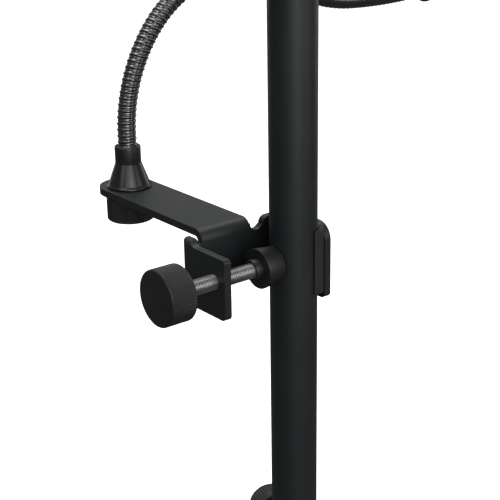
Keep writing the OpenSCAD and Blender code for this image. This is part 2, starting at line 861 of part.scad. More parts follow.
module arm_stud() {
    low = plate_low - washer_t - nut_h + 2;
    color(zinc) at_arm(low) cylinder(d = arm_stud_d, h = plate_top + cone_h - neck_seat - low);
}

module arm_washer() {
    color(zinc) at_arm(plate_low - washer_t - fit)
        pipe(washer_d / 2, arm_stud_d / 2 + fit, washer_t);
}

module arm_nut() {
    edge = 0.8;
    color(plastic_black) at_arm(plate_low - washer_t - 2 * fit) rotate([180, 0, 0])
        rotate_extrude() polygon([
            [arm_stud_d / 2 + fit, 0], [nut_d / 2 - edge, 0], [nut_d / 2, edge],
            [nut_d / 2, nut_h - edge], [nut_d / 2 - edge, nut_h], [0, nut_h],
            [0, nut_h - nut_wall], [arm_stud_d / 2 + fit, nut_h - nut_wall]]);
}

module gooseneck_root() {
    low = plate_top + cone_rest + cone_h - neck_seat;
    color(gloss_black) at_arm(low) cylinder(r = neck_r, h = neck_base - low);
}

// Moves a child from a stretch's start to its end: a bends radius and angle
module past_arc(bend) {
    side = sign(bend[0]);
    r = abs(bend[0]);
    translate([side * r * (1 - cos(bend[1])), 0, r * sin(bend[1])])
        rotate([0, side * bend[1], 0]) children();
}

// Places a child at the start of stretch i, heading along +Z
module at_stretch(i) {
    if (i == 0) at_arm(neck_base) children();
    else at_stretch(i - 1) past_arc(neck_arcs[i - 1]) children();
}

// A round bar that starts along +Z and bends in the plane of X and Z
module bent_bar(bend) {
    r = abs(bend[0]);
    rotate([0, 0, bend[0] < 0 ? 180 : 0]) rotate([90, 0, 0]) translate([r, 0, 0])
        rotate([0, 0, 180 - bend[1]]) rotate_extrude(angle = bend[1])
            translate([r, 0]) circle(r = neck_r);
}

// One stretch of the gooseneck, hollowed at its start so that it can bend there
module gooseneck(i) {
    color(gloss_black) at_stretch(i) difference() {
        bent_bar(neck_arcs[i]);
        sphere(r = neck_r + ball_gap);
    }
}

module arm_tip() {
    last = len(neck_arcs) - 1;
    color(gloss_black) at_stretch(last) past_arc(neck_arcs[last]) {
        cylinder(d = ferrule_d, h = ferrule_len);
        translate([0, 0, ferrule_len]) cylinder(d = spigot_d, h = spigot_len);
    }
}

lower_tube();
tube_end_cap();
brace_hub();
brace_pins();
height_collar();
height_bush();
leg_hub();
leg_pins();
leg(leg_az[0]);  // leg_a
leg(leg_az[1]);  // leg_b
leg(leg_az[2]);  // leg_c
foot(leg_az[0]);  // foot_a
foot(leg_az[1]);  // foot_b
foot(leg_az[2]);  // foot_c
brace(leg_az[0]);  // brace_a
brace(leg_az[1]);  // brace_b
brace(leg_az[2]);  // brace_c
brace_rivets(leg_az[0]);  // brace_rivets_a
brace_rivets(leg_az[1]);  // brace_rivets_b
brace_rivets(leg_az[2]);  // brace_rivets_c
facing(hub_knob_az, hub_z + knob_up) lock_shoe(tube_r);  // hub_shoe
facing(hub_knob_az, hub_z + knob_up) lock_knob(hub_r + boss_len);  // hub_knob
facing(hub_knob_az, hub_z + knob_up) lock_stud(tube_r, hub_r + boss_len);  // hub_stud
facing(height_knob_az, height_lock_z) lock_shoe(inner_r, height_shoe_t);  // height_shoe
facing(height_knob_az, height_lock_z) lock_knob(collar_r + boss_len);  // height_knob
facing(height_knob_az, height_lock_z)  // height_stud
        lock_stud(inner_r, collar_r + boss_len, height_shoe_t);
inner_tube();
inner_tube_plug();
desk_socket();
desk_lock() lock_shoe(inner_r);  // swivel_shoe
desk_lock() lock_knob(socket_r + boss_len);  // swivel_knob
desk_lock() lock_stud(inner_r, socket_r + boss_len);  // swivel_stud
tilt_bracket();
tilt_bolt();
tilt_washer();
tilt_knob();
desk_panel();
desk_ledge();
desk_rivets();
clamp_bracket();
clamp_liner();
pressure_pad();
clamp_rod();
clamp_knob();
arm_cone();
arm_stud();
arm_washer();
arm_nut();
gooseneck_root();
gooseneck(0);  // gooseneck_1
gooseneck(1);  // gooseneck_2
gooseneck(2);  // gooseneck_3
gooseneck(3);  // gooseneck_4
gooseneck(4);  // gooseneck_5
arm_tip();
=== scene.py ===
# %% [markdown]
# # A music stand with a clamp-on gooseneck arm
# The stand is a folding tripod, two tubes that slide in each other, a tilting sheet-metal desk
# and a small arm that a bent steel clamp holds on the lower tube. Its sizes, places and joints
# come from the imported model, so this lesson only makes surfaces: it reads each part's measured
# shape, builds a finer piece in the same place, and says which body the piece moves with.

# %% Load the fixed frame
import json
import math

import bmesh
import bpy
from mathutils import Matrix, Quaternion, Vector

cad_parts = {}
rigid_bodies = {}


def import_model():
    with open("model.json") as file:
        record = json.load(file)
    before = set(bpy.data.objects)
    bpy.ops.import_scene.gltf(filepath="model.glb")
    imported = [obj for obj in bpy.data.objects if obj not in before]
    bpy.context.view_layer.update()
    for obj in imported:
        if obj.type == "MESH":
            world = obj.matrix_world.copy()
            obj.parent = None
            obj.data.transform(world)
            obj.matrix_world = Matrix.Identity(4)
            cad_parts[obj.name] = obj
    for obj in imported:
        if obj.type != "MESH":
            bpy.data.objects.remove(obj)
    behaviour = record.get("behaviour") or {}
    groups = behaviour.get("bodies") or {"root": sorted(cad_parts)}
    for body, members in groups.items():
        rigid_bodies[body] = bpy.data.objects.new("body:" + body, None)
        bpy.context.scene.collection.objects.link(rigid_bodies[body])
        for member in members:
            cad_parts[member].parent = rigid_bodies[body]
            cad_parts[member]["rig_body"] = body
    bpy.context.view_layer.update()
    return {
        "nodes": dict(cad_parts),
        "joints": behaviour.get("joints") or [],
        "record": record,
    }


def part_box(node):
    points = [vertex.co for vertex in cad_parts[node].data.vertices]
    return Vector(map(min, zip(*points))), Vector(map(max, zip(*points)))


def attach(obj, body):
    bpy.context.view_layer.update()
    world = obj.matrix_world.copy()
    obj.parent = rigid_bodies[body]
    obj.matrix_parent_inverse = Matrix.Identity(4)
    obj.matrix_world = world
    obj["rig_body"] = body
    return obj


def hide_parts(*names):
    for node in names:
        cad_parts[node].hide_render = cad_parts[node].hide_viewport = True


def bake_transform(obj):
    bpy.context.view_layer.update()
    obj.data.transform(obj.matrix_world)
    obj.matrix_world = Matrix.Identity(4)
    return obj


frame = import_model()
nodes = frame["nodes"]
joints = {joint["name"]: joint for joint in frame["joints"]}
slots = {part["node"]: part["material_slot"] for part in frame["record"]["subparts"]}
mm = 0.001


# %% [markdown]
# ## Camera
# The view looks down a little on the clamp from the knob's side, from about 0.6 m away, with a
# long lens. A camera is easiest to describe as a person would: which way it looks round the
# object, how high it stands, how it is rolled, and how far its axis misses the subject.

# %% The camera
clamp_low, clamp_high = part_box("clamp_rod")
screw_height = (clamp_low.z + clamp_high.z) / 2
azimuth, elevation, roll = (math.radians(angle) for angle in (-37.886, 20.072, -0.952))
camera_place = Vector((-369.5, -438.4, 214.3)) * mm + Vector((0, 0, screw_height))
backwards = Vector((
    math.sin(azimuth) * math.cos(elevation),
    -math.cos(azimuth) * math.cos(elevation),
    math.sin(elevation)))

camera_data = bpy.data.cameras.new("camera")
camera_data.lens = 85.07
camera_data.sensor_width = 36
camera = bpy.data.objects.new("camera", camera_data)
bpy.context.collection.objects.link(camera)
camera.location = camera_place
camera.rotation_mode = "QUATERNION"
camera.rotation_quaternion = (-backwards).to_track_quat("-Z", "Y") @ Quaternion((0, 0, 1), roll)
bpy.context.scene.camera = camera
print("the camera stands", round(camera_place.length, 2), "m from the tube's foot")


# %% [markdown]
# ## Finishes
# A finish is what the material is and how its surface was made. Every pattern is laid out in
# real millimetres on Object coordinates, which never slide, because each piece's object stays at
# the origin. One helper adds a node, sets its sockets and links them.

# %% Helpers for finishes
def linear(hex_colour):
    """An sRGB colour such as "1c1d1e" as linear RGBA."""
    channels = [int(hex_colour[i:i + 2], 16) / 255 for i in (0, 2, 4)]
    return [c / 12.92 if c <= 0.04045 else ((c + 0.055) / 1.055) ** 2.4 for c in channels] + [1]


def add(tree, kind, settings, links=(), **attributes):
    """Adds a node, sets its sockets and its attributes, and links its inputs."""
    node = tree.nodes.new(kind)
    for name, value in attributes.items():
        setattr(node, name, value)
    for name, value in settings.items():
        node.inputs[name].default_value = value
    for name, source in links:
        tree.links.new(source, node.inputs[name])
    return node


def new_finish(name, **settings):
    """A material with its shader; returns the material, its tree, the shader and the place."""
    material = bpy.data.materials.new(name)
    material.use_nodes = True
    tree = material.node_tree
    shader = tree.nodes["Principled BSDF"]
    for socket, value in settings.items():
        shader.inputs[socket.replace("_", " ")].default_value = value
    place = add(tree, "ShaderNodeTexCoord", {}).outputs["Object"]
    return material, tree, shader, place


def per_mm(size):
    """The scale that gives a pattern whose features are about this many millimetres."""
    return 1 / (size * mm)


# %% [markdown]
# ### Powder coat on steel
# The tubes, the clamp, the legs and the desk are steel with a black polyester powder baked on.
# The eye sees a satin black with a faint orange peel, about a millimetre across, that breaks up
# the reflections, and slow patches where the coat is a little thicker and duller.

# %% Satin black powder coat
powder_coat, tree, shader, place = new_finish(
    "satin_powder_coat", Base_Color=linear("16191b"), IOR=1.5)
peel = add(tree, "ShaderNodeTexNoise", {"Scale": per_mm(1.1), "Detail": 2, "Roughness": 0.55},
           [("Vector", place)])
patches = add(tree, "ShaderNodeTexNoise", {"Scale": per_mm(34), "Detail": 3}, [("Vector", place)])
gloss = add(tree, "ShaderNodeMapRange", {"From Min": 0.3, "From Max": 0.7, "To Min": 0.42,
                                         "To Max": 0.5}, [("Value", patches.outputs["Fac"])])
tone = add(tree, "ShaderNodeMix", {"A": linear("131617"), "B": linear("191c1e")},
           [("Factor", patches.outputs["Fac"])], data_type="RGBA")
bump = add(tree, "ShaderNodeBump", {"Strength": 0.16, "Distance": 0.05 * mm},
           [("Height", peel.outputs["Fac"])])
tree.links.new(tone.outputs["Result"], shader.inputs["Base Color"])
tree.links.new(gloss.outputs["Result"], shader.inputs["Roughness"])
tree.links.new(bump.outputs["Normal"], shader.inputs["Normal"])

# %% [markdown]
# ### Moulded black plastics
# The collars and the sockets are glass-filled nylon from a spark-eroded mould, which leaves a
# fine even grain. The knobs are ABS, a little smoother. Both are one recipe with other numbers:
# a grain for the bump, and a slow drift of tone as the glass fibres come near the surface.

# %% Moulded plastics
def moulded(name, dark, light, grain_mm, depth_mm, dull):
    material, tree, shader, place = new_finish(name, Roughness=dull, IOR=1.53)
    grain = add(tree, "ShaderNodeTexNoise", {"Scale": per_mm(grain_mm), "Detail": 3},
                [("Vector", place)])
    drift = add(tree, "ShaderNodeTexNoise", {"Scale": per_mm(9), "Detail": 4}, [("Vector", place)])
    tone = add(tree, "ShaderNodeMix", {"A": linear(dark), "B": linear(light)},
               [("Factor", drift.outputs["Fac"])], data_type="RGBA")
    bump = add(tree, "ShaderNodeBump", {"Strength": 0.3, "Distance": depth_mm * mm},
               [("Height", grain.outputs["Fac"])])
    tree.links.new(tone.outputs["Result"], shader.inputs["Base Color"])
    tree.links.new(bump.outputs["Normal"], shader.inputs["Normal"])
    return material


glass_nylon = moulded("glass_filled_nylon", "101112", "1a1b1c", 0.5, 0.05, 0.55)
knob_abs = moulded("black_abs", "0f1011", "161718", 0.45, 0.03, 0.46)
shrink_sleeve = moulded("black_shrink_sleeve", "101011", "161617", 0.7, 0.03, 0.38)
rubber = moulded("black_rubber", "121212", "1a1a19", 0.4, 0.06, 0.72)
natural_nylon = moulded("natural_nylon", "cfccc0", "dcd9ce", 0.6, 0.02, 0.4)

# %% [markdown]
# ### Gloss black lacquer
# The cone is steel under a thin stoved lacquer. It is almost black, and it shows as highlights,
# with a slight waviness. The gooseneck's wires are plated black before they are wound, which
# mirrors more and sharper, so every rib carries a glint: the same recipe with other numbers.

# %% Gloss black lacquer
def gloss_black(name, ior, sharpest, dullest):
    material, tree, shader, place = new_finish(name, Base_Color=linear("0c0e0f"), IOR=ior)
    wave = add(tree, "ShaderNodeTexNoise", {"Scale": per_mm(3.5), "Detail": 2},
               [("Vector", place)])
    smear = add(tree, "ShaderNodeMapRange", {"To Min": sharpest, "To Max": dullest},
                [("Value", wave.outputs["Fac"])])
    bump = add(tree, "ShaderNodeBump", {"Strength": 0.12, "Distance": 0.08 * mm},
               [("Height", wave.outputs["Fac"])])
    tree.links.new(smear.outputs["Result"], shader.inputs["Roughness"])
    tree.links.new(bump.outputs["Normal"], shader.inputs["Normal"])
    return material


lacquer = gloss_black("stoved_black_lacquer", 1.5, 0.2, 0.34)
wire_lacquer = gloss_black("black_plated_wire", 2.1, 0.14, 0.26)

# %% [markdown]
# ### Zinc plate
# Screws and rivets are steel with a bright zinc plate. It is a pale grey metal with small
# crystals, about half a millimetre, that turn the light in slightly different ways.

# %% Zinc plate
zinc, tree, shader, place = new_finish("bright_zinc_plate", Metallic=1.0, Roughness=0.34)
crystals = add(tree, "ShaderNodeTexVoronoi", {"Scale": per_mm(0.6)}, [("Vector", place)])
tone = add(tree, "ShaderNodeMix", {"A": linear("a3a5a4"), "B": linear("cbccc9")},
           [("Factor", crystals.outputs["Distance"])], data_type="RGBA")
sheen = add(tree, "ShaderNodeMapRange", {"To Min": 0.28, "To Max": 0.46},
            [("Value", crystals.outputs["Distance"])])
tree.links.new(tone.outputs["Result"], shader.inputs["Base Color"])
tree.links.new(sheen.outputs["Result"], shader.inputs["Roughness"])

finish_of_slot = {
    "powder_coat": powder_coat, "moulded_black": glass_nylon, "knob_black": knob_abs,
    "gloss_black": lacquer, "zinc": zinc, "rubber": rubber, "nylon": natural_nylon}
print(len(bpy.data.materials), "finishes")


# %% [markdown]
# ## Tools for the pieces
# Most parts are turned, bent or moulded, so five small tools make nearly everything. `turned`
# spins an outline round +Z, as a lathe would. `soften` rounds every sharp edge, because no real
# edge is a knife and the rounded one catches a line of light. `place_on` moves a piece drawn on
# +Z to a joint's axis. `keep_flats_flat` lets the largest face at a corner set the shading, or a
# flat sheet with rounded edges would look like a pillow. `finish_piece` hands it to the frame.

# %% Tools for the pieces
sharp = math.radians(28)
same_surface = math.cos(math.radians(50))


def turned(outline, steps=96):
    """A solid of revolution round +Z from (radius, height) points in metres."""
    bm = bmesh.new()
    verts = [bm.verts.new((r, 0, z)) for r, z in outline]
    edges = [bm.edges.new(pair) for pair in zip(verts, verts[1:])]
    bmesh.ops.spin(bm, geom=verts + edges, cent=(0, 0, 0), axis=(0, 0, 1), dvec=(0, 0, 0),
                   angle=math.tau, steps=steps, use_merge=True, use_duplicate=False)
    bmesh.ops.remove_doubles(bm, verts=bm.verts, dist=1e-7)
    bmesh.ops.recalc_face_normals(bm, faces=bm.faces)
    return bm


def soften(bm, radius, segments=2, wanted=lambda edge: True):
    """Rounds the sharp edges of a mesh, or only the wanted ones."""
    edges = [e for e in bm.edges if len(e.link_faces) == 2
             and e.calc_face_angle() > sharp and wanted(e)]
    bmesh.ops.bevel(bm, geom=edges, offset=radius, offset_type="OFFSET", segments=segments,
                    profile=0.5, affect="EDGES", clamp_overlap=True, material=-1)
    return bm


def place_on(bm, origin, axis):
    """Moves a mesh drawn on +Z so that it stands on origin and points along axis."""
    turn = Vector(axis).to_track_quat("Z", "Y").to_matrix().to_4x4()
    bmesh.ops.transform(bm, matrix=Matrix.Translation(origin) @ turn, verts=bm.verts)
    return bm


def keep_flats_flat(mesh):
    """Weighs each corner's normal by area, so a flat face beside a rounded edge stays flat."""
    around = [[] for _ in mesh.vertices]
    for face in mesh.polygons:
        for v in face.vertices:
            around[v].append(face)
    corners = []
    for face in mesh.polygons:
        for v in face.vertices:
            close = [g for g in around[v] if g.normal.dot(face.normal) > same_surface]
            corners.append(sum((g.area * g.normal for g in close), Vector()).normalized())
    mesh.normals_split_custom_set(corners)


def finish_piece(name, bm, material, body, *replaced, slot=None, smooth=sharp, flats=False):
    """Makes the object, rides it on its body, if it has one, and hides the parts it stands for."""
    mesh = bpy.data.meshes.new(name)
    bm.to_mesh(mesh)
    bm.free()
    mesh.materials.append(material)
    mesh.shade_smooth()
    mesh.set_sharp_from_angle(angle=smooth)
    if flats:
        keep_flats_flat(mesh)
    piece = bpy.data.objects.new(name, mesh)
    bpy.context.collection.objects.link(piece)
    if body:
        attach(piece, body)
    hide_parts(*replaced)
    return piece


def body_of(node):
    return nodes[node]["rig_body"]


def measure(node, origin, axis):
    """Start, end and radius of a part along and away from an axis, in metres."""
    rel = [v.co - Vector(origin) for v in nodes[node].data.vertices]
    along = [r.dot(axis) for r in rel]
    away = [(r - h * axis).length for r, h in zip(rel, along)]
    return min(along), max(along), max(away)


def joint_axis(name):
    return Vector(joints[name]["pos_m"]), Vector(joints[name]["axis"]).normalized()


def copy_of(node, merge=1e-6):
    """A clean copy of a part's mesh: merged, with its flat faces joined up."""
    bm = bmesh.new()
    bm.from_mesh(nodes[node].data)
    bmesh.ops.remove_doubles(bm, verts=bm.verts, dist=merge)
    bmesh.ops.dissolve_limit(bm, angle_limit=math.radians(0.5), verts=bm.verts, edges=bm.edges)
    return bm


# %% [markdown]
# ## Sheet metal and mouldings
# The bracket, the legs, the desk and the collars already have their true shape in the frame, and
# only their edges are too sharp. A sheet cut by a laser and then powder coated has edges rounded
# to about half a millimetre, and a moulding has about one. So each is a copy of its part with
# soft edges.

# %% Parts that only need their edges rounded
edge_radius = {
    "clamp_bracket": 0.55, "clamp_liner": 0.5, "lower_tube": 0.25, "inner_tube": 0.25,
    "tube_end_cap": 0.8, "brace_hub": 0.9, "leg_hub": 0.9, "height_collar": 1.2,
    "height_bush": 0.3, "desk_socket": 1.2, "tilt_bracket": 0.4, "desk_panel": 0.6,
    "desk_ledge": 0.5, "inner_tube_plug": 0.4, "hub_shoe": 0.3, "height_shoe": 0.3,
    "swivel_shoe": 0.3, "tilt_washer": 0.2, "arm_washer": 0.2, "desk_rivets": 0.7,
    "brace_pins": 0.5, "leg_pins": 0.5}
for side in "abc":
    edge_radius.update({f"leg_{side}": 0.35, f"brace_{side}": 0.35, f"brace_rivets_{side}": 0.5})
for node, radius in edge_radius.items():
    finish = finish_of_slot[slots[node]]
    finish_piece(node + "_soft", soften(copy_of(node), radius * mm), finish, body_of(node), node,
                 flats=True)
print(len(edge_radius), "parts with rounded edges")


# %% [markdown]
# ## Knurled knobs and nut
# A knurl is a row of straight ribs rolled or moulded round the rim. Four steps of the lathe make
# one rib: two stay out and two go in. The face is very slightly domed, so the light slides over
# it, and a smooth rounded edge runs between the face and the ribs.

# %% Knurled knobs
def knurl(bm, radius, steps_per_rib, depth):
    """Sinks half of the steps of the outermost band, which leaves a rib in every gap."""
    rim = [v for v in bm.verts if v.co.to_2d().length > radius - 1e-6]
    step = math.tau / (len(rim) / 2)
    low = [v for v in rim if round(math.atan2(v.co.y, v.co.x) / step) % steps_per_rib > 1]
    bmesh.ops.scale(bm, verts=low, vec=(1 - depth / radius, 1 - depth / radius, 1))


def knurled_knob(name, node, joint, ribs, neck=None, edge=1.2, rib_depth=0.45, material=knob_abs):
    """A knob on a joint's axis, with its size measured from its part."""
    origin, axis = joint_axis(joint)
    start, end, radius = measure(node, origin, axis)
    height = end - start
    neck_r, neck_h = neck or (0, 0)
    neck_r, neck_h = neck_r * mm, neck_h * mm
    dome = 0.25 * mm
    outline = [(0, 0), (neck_r, 0), (neck_r, neck_h), (radius, neck_h), (radius, height - dome),
               (0, height)]
    if not neck:
        outline = [(0, 0), (radius, 0), (radius, height - dome), (0, height)]
    bm = turned(outline, steps=4 * ribs)
    soften(bm, edge * mm, 4)
    knurl(bm, radius, 4, rib_depth * mm)
    place_on(bm, origin + start * axis, axis)
    return finish_piece(name, bm, material, body_of(node), node)


knurled_knob("clamp_knob_knurled", "clamp_knob", "clamp_screw_turn", ribs=66, edge=1.0,
             rib_depth=0.28)
knurled_knob("arm_nut_knurled", "arm_nut", "arm_nut_turn", ribs=72, edge=1.4, rib_depth=0.3)
knurled_knob("tilt_knob_knurled", "tilt_knob", "tilt_screw_turn", ribs=44, neck=(9, 3))
for lock in ("hub", "height", "swivel"):
    knurled_knob(f"{lock}_knob_knurled", f"{lock}_knob", f"{lock}_screw_turn", ribs=40,
                 neck=(6.5, 3))


# %% [markdown]
# ## Threads
# A rolled thread is one ridge that climbs the rod. The spin operator can climb as it turns, so a
# ridge's outline, one pitch tall, spins up the rod, and every turn lands on the top of the last.
# Two planes then cut the ends square and close them.

# %% Threaded rods
def threaded(radius, pitch, length, steps_per_turn=24):
    """A rod along +Z from 0 to length with a right-hand thread."""
    root = radius - 0.61 * pitch
    ridge = [(root, 0), (root, 0.14), (radius, 0.5), (radius, 0.64), (root, 1)]
    turns = math.ceil(length / pitch) + 2
    bm = bmesh.new()
    verts = [bm.verts.new((r, 0, (z - 1) * pitch)) for r, z in ridge]
    edges = [bm.edges.new(pair) for pair in zip(verts, verts[1:])]
    bmesh.ops.spin(bm, geom=verts + edges, cent=(0, 0, 0), axis=(0, 0, 1),
                   dvec=(0, 0, pitch / steps_per_turn), angle=turns * math.tau,
                   steps=turns * steps_per_turn, use_merge=False, use_duplicate=False)
    bmesh.ops.remove_doubles(bm, verts=bm.verts, dist=1e-6)
    for height, keep_up in ((0, True), (length, False)):
        bmesh.ops.bisect_plane(
            bm, geom=bm.verts[:] + bm.edges[:] + bm.faces[:], dist=1e-7,
            plane_co=(0, 0, height), plane_no=(0, 0, 1), clear_inner=keep_up,
            clear_outer=not keep_up)
        rim = [e for e in bm.edges if e.is_boundary
               and all(abs(v.co.z - height) < 1e-6 for v in e.verts)]
        bmesh.ops.edgeloop_fill(bm, edges=rim)
    bmesh.ops.recalc_face_normals(bm, faces=bm.faces)
    return bm


def threaded_part(name, node, joint, pitch_mm):
    """A threaded rod in the place of a plain one."""
    origin, axis = joint_axis(joint)
    start, end, radius = measure(node, origin, axis)
    bm = place_on(threaded(radius, pitch_mm * mm, end - start), origin + start * axis, axis)
    finish_piece(name, bm, zinc, body_of(node), node)


threaded_part("clamp_rod_thread", "clamp_rod", "clamp_screw_turn", 1.25)
threaded_part("arm_stud_thread", "arm_stud", "arm_nut_turn", 1.25)
for lock in ("hub", "height", "swivel"):
    threaded_part(f"{lock}_stud_thread", f"{lock}_stud", f"{lock}_screw_turn", 1.0)


# %% [markdown]
# The tilt bolt is a smooth shank with a domed head at one end. The part has its true length, so
# the head is a short turned piece and the shank keeps the part's radius.

# %% Tilt bolt
origin, axis = joint_axis("desk_tilt")
start, end, head_r = measure("tilt_bolt", origin, axis)
shank_r, head_h = 4 * mm, 5 * mm
bolt = turned([(0, start), (shank_r, start), (shank_r, end - head_h), (head_r, end - head_h),
               (head_r, end - 0.8 * mm), (head_r - 2 * mm, end), (0, end)], 48)
soften(bolt, 0.5 * mm, 3)
finish_piece("tilt_bolt_turned", place_on(bolt, origin, axis), zinc, "desk", "tilt_bolt")


# %% [markdown]
# ## Clamp pad
# The pad is a turned plastic puck that the screw presses on the tube. It widens from the tube to
# the face that looks at the screw, and a small hub on that face holds the rod's end.

# %% Clamp pad
origin, axis = joint_axis("clamp_screw_turn")
start, end, pad_r = measure("pressure_pad", origin, axis)
bore, hub_r, end_r = 4.06 * mm, 5.5 * mm, 9.4 * mm
hub_length, bore_depth = 4.2 * mm, 5 * mm
face = end - hub_length
pad = turned([(0, start), (end_r, start), (pad_r, face), (hub_r, face), (hub_r, end), (bore, end),
              (bore, end - bore_depth), (0, end - bore_depth)], 64)
soften(pad, 0.6 * mm, 3, lambda e: all(v.co.to_2d().length > hub_r + 1e-5 for v in e.verts))
soften(pad, 0.3 * mm, 2, lambda e: all(v.co.z > end - 1e-6 for v in e.verts))
finish_piece("pressure_pad_turned", place_on(pad, origin, axis), knob_abs, "pad", "pressure_pad")


# %% [markdown]
# ## Cone and sleeve
# The arm stands on a spun steel cone with a small rolled lip, which is lacquered gloss black. A
# matt sleeve covers the joint between the cone and the gooseneck, and its rim is rounded over a
# shallow recess. They are one part in the frame and two pieces here, because the eye sees two
# finishes.

# %% Cone and sleeve
arm_place, up = joint_axis("arm_swivel")
start, end, lip_r = measure("arm_cone", arm_place, up)
cone_top = start + 14.5 * mm
sleeve_r, neck_bore = 7.4 * mm, 5.6 * mm
cone = turned([(0, start), (lip_r, start), (lip_r, start + 1.3 * mm),
               (lip_r - 0.9 * mm, start + 1.9 * mm), (sleeve_r - 0.1 * mm, cone_top),
               (0, cone_top)], 96)
soften(cone, 0.5 * mm, 3)
finish_piece("arm_cone_spun", place_on(cone, arm_place, up), lacquer, "arm_base", "arm_cone")

sleeve = turned([(0, cone_top - 0.6 * mm), (sleeve_r, cone_top - 0.6 * mm), (sleeve_r, end),
                 (neck_bore + 0.5 * mm, end), (neck_bore, end - 1.2 * mm), (0, end - 1.2 * mm)])
soften(sleeve, 0.9 * mm, 4)
finish_piece("arm_sleeve", place_on(sleeve, arm_place, up), shrink_sleeve, "arm_base",
             "arm_cone", slot="moulded_black")


# %% [markdown]
# ## Gooseneck
# A gooseneck is two wires wound together: a round one, and a wedge that fills the groove outside
# it. What shows is a wide round rib and a narrow low one in every turn, climbing the tube. Its
# path is a chain of arcs through the joints: each arc leaves in the direction in which the last
# arrived, so its turn is twice the angle between that direction and the chord.

# %% The gooseneck's path
neck_joints = [joints[f"neck_bend_{i}"] for i in range(1, 6)]
spigot = next(m for m in frame["record"]["mounts"] if m["name"] == "arm_spigot")
spigot_axis = Vector(spigot["axis"])
ferrule = 13 * mm
spigot_start = Vector(spigot["pos_m"]) - spigot_axis * spigot["dims"]["length_mm"] * mm / 2
stations = [Vector(j["pos_m"]) for j in neck_joints] + [spigot_start - spigot_axis * ferrule]

arcs = []
heading = 0.0
for a, b in zip(stations, stations[1:]):
    chord = b - a
    half = math.atan2(chord.x, chord.z) - heading
    length = chord.length * half / math.sin(half)
    arcs.append((a, heading, length, 2 * half))
    heading += 2 * half
root_length = stations[0].z - (arm_place.z + end) + 2 * mm
neck_length = sum(arc[2] for arc in arcs)
print("the gooseneck bends over", round(neck_length * 1000), "mm")


def neck_frame(s):
    """The place and turn of the gooseneck's section at a length s past its first joint."""
    for a, heading, length, turn in arcs:
        if s <= length or a == arcs[-1][0]:
            break
        s -= length
    t = min(s, length) / length * turn
    radius = length / turn
    if s < 0:
        t, local = 0, Vector((0, 0, s))
    else:
        local = Vector((radius * (1 - math.cos(t)), 0, radius * math.sin(t)))
    turned_by = Matrix.Rotation(heading, 4, "Y")
    return Matrix.Translation(a + turned_by @ local) @ turned_by @ Matrix.Rotation(t, 4, "Y")


# %% The gooseneck's wires
neck_r = measure("gooseneck_root", arm_place, up)[2]
wire_pitch = 3.4 * mm
wide_share, wide_rise, narrow_rise = 0.6, 0.8 * mm, 0.45 * mm
around, rings_per_pitch = 28, 10


def wire_radius(turns):
    """Radius of the surface at this many turns along the winding."""
    t = turns % 1
    root = neck_r - wide_rise
    if t < wide_share:
        return root + wide_rise * math.sin(math.pi * t / wide_share) ** 0.7
    return root + narrow_rise * math.sin(math.pi * (t - wide_share) / (1 - wide_share)) ** 0.7


def neck_piece(s_from, s_to):
    """A stretch of wound tube, open at both ends, from one length to another."""
    rings = math.ceil((s_to - s_from) / wire_pitch * rings_per_pitch)
    bm = bmesh.new()
    ring = bmesh.ops.create_circle(bm, cap_ends=False, segments=around, radius=1)["verts"]
    angles = [math.atan2(v.co.y, v.co.x) for v in ring]
    for k in range(rings + 1):
        s = s_from + (s_to - s_from) * k / rings
        if k:
            edges = list({e for v in ring for e in v.link_edges
                          if all(w in ring_set for w in e.verts)})
            made = bmesh.ops.extrude_edge_only(bm, edges=edges)["geom"]
            new = [g for g in made if isinstance(g, bmesh.types.BMVert)]
            old_to_new = {}
            for v in new:
                for e in v.link_edges:
                    other = e.other_vert(v)
                    if other in ring_set:
                        old_to_new[other] = v
            ring = [old_to_new[v] for v in ring]
        ring_set = set(ring)
        here = neck_frame(s)
        for v, angle in zip(ring, angles):
            r = wire_radius(s / wire_pitch - angle / math.tau)
            v.co = here @ Vector((r * math.cos(angle), r * math.sin(angle), 0))
    bmesh.ops.recalc_face_normals(bm, faces=bm.faces)
    return bm


# %% [markdown]
# The frame bends the neck at five hinges. One piece goes from the middle of a stretch to the
# middle of the next, over the hinge between them. The pieces are built in the rest pose and
# ride on no body.

# %% The gooseneck's pieces
starts = [sum(arc[2] for arc in arcs[:i]) for i in range(6)]
middles = [-root_length] + [(a + b) / 2 for a, b in zip(starts, starts[1:])]
middles[5] = starts[5]
for i in range(5):
    blend_to = (starts[i] + starts[i + 1]) / 2
    replaced = [f"gooseneck_{i + 1}"] + (["gooseneck_root"] if i == 0 else [])
    piece = finish_piece(f"gooseneck_wound_{i + 1}", neck_piece(middles[i], middles[i + 1]),
                         wire_lacquer, None, *replaced, smooth=math.radians(75))
    neck_frame(middles[i]).translation
    neck_frame(blend_to).translation
    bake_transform(piece)

# %% [markdown]
# At its end the neck carries a turned ferrule with a knurled rim, and a threaded spigot in the
# size of a microphone stand, with 27 threads to the inch.

# %% Ferrule and spigot
spigot_length = spigot["dims"]["length_mm"] * mm
ferrule_r = measure("arm_tip", spigot_start, spigot_axis)[2]
body_part = turned([(0, 0), (ferrule_r, 0), (ferrule_r, ferrule), (0, ferrule)], 120)
soften(body_part, 1.2 * mm, 4)
knurl(body_part, ferrule_r, 4, 0.25 * mm)
place_on(body_part, spigot_start - spigot_axis * ferrule, spigot_axis)
finish_piece("arm_ferrule", body_part, lacquer, "neck_5", "arm_tip")
thread = threaded(spigot["dims"]["r_mm"] * mm, 25.4 / 27 * mm, spigot_length, 48)
finish_piece("arm_spigot_thread", place_on(thread, spigot_start, spigot_axis), zinc, "neck_5",
             "arm_tip", slot="zinc")


# %% [markdown]
# ## Rubber feet
# Each foot is a moulded rubber boot pushed over a leg's end, with a ball end that is flat where
# it stands. Rings moulded round the boot let it grip the leg: here planes cut the copied part
# across the leg's line, and the skin between each pair of cuts sinks in.

